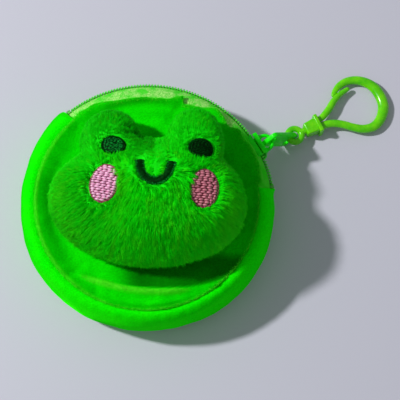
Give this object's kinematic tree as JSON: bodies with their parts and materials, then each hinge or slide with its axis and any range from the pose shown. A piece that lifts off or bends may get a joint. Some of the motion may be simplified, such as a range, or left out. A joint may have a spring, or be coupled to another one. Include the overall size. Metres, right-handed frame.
{
  "type": "plush coin purse",
  "caption": "Round velour coin purse with a stuffed frog head on its front, a curved zip with a pull tab and a swivel clip.",
  "frame": {"origin": "centre of the back panel's outer face, which lies on the table", "axes": "+Z out of the back panel, away from the table, through the front; +Y to the top of the frog's head; +X to the side that the clip lies on"},
  "size_m": [0.1565, 0.1137, 0.0538],
  "materials": {
    "velour": "short-pile velour, bright green",
    "plush": "long-pile plush, deep green",
    "lining_cloth": "thin woven lining",
    "zip_tape": "woven tape, light green",
    "zip_coil": "moulded nylon coil",
    "slider_coat": "green lacquer",
    "clip_plastic": "moulded, lime green",
    "dark_thread": "satin stitch",
    "pink_thread": "satin stitch",
    "fibre": "polyester filling"
  },
  "bodies": {
    "pouch": {"back_panel": "velour", "gusset": "velour", "lining_back": "lining_cloth", "lining_gusset": "lining_cloth", "zip_tape_back": "zip_tape", "zip_coil_back": "zip_coil", "zip_stop_left": "zip_tape", "zip_stop_right": "zip_tape"},
    "front": {"front_panel": "velour", "lining_front": "lining_cloth", "zip_tape_front": "zip_tape", "zip_coil_front": "zip_coil", "head_plush": "plush", "head_stuffing": "fibre", "left_eye": "dark_thread", "right_eye": "dark_thread", "smile": "dark_thread", "left_cheek": "pink_thread", "right_cheek": "pink_thread"},
    "slider": {"slider_body": "slider_coat", "slider_bail": "slider_coat"},
    "puller": {"puller_tab": "slider_coat"},
    "eye": {"swivel_eye": "clip_plastic"},
    "hook": {"hook_body": "clip_plastic"},
    "gate": {"hook_gate": "clip_plastic"}
  },
  "joints": [
    {"name": "zip_travel", "type": "hinge", "parent": "pouch", "child": "slider", "pos_m": [0, 0, 0], "axis": [0, 0, 1], "range_deg": [-13, 93], "deforming": ["zip_coil_front", "zip_coil_back", "zip_tape_front", "zip_tape_back"]},
    {"name": "mouth_open", "type": "hinge", "parent": "pouch", "child": "front", "pos_m": [-0.01656, -0.04313, 0.0254], "axis": [0.9336, -0.3584, 0], "range_deg": [-1, 6.1], "deforming": ["gusset", "lining_gusset"]},
    {"name": "puller_swing", "type": "hinge", "parent": "slider", "child": "puller", "pos_m": [0.05169, 0.02865, 0.017], "axis": [0.4848, -0.8746, 0], "range_deg": [-30, 100]},
    {"name": "eye_swing", "type": "hinge", "parent": "puller", "child": "eye", "pos_m": [0.05987, 0.03319, 0.00469], "axis": [0.4848, -0.8746, 0], "range_deg": [-60, 25]},
    {"name": "hook_swivel", "type": "hinge", "parent": "eye", "child": "hook", "pos_m": [0.06249, 0.03464, 0.00469], "axis": [0.8955, 0.4406, -0.0633], "continuous": true},
    {"name": "gate_open", "type": "hinge", "parent": "hook", "child": "gate", "pos_m": [0.07361, 0.04234, 0.00384], "axis": [-0.0567, -0.0279, -0.998], "range_deg": [0, 18], "stiffness_Nm_per_rad": 0.02}
  ],
  "couplings": [
    {"joint": "mouth_open", "follows": "zip_travel", "ratio": 0.0645}
  ]
}
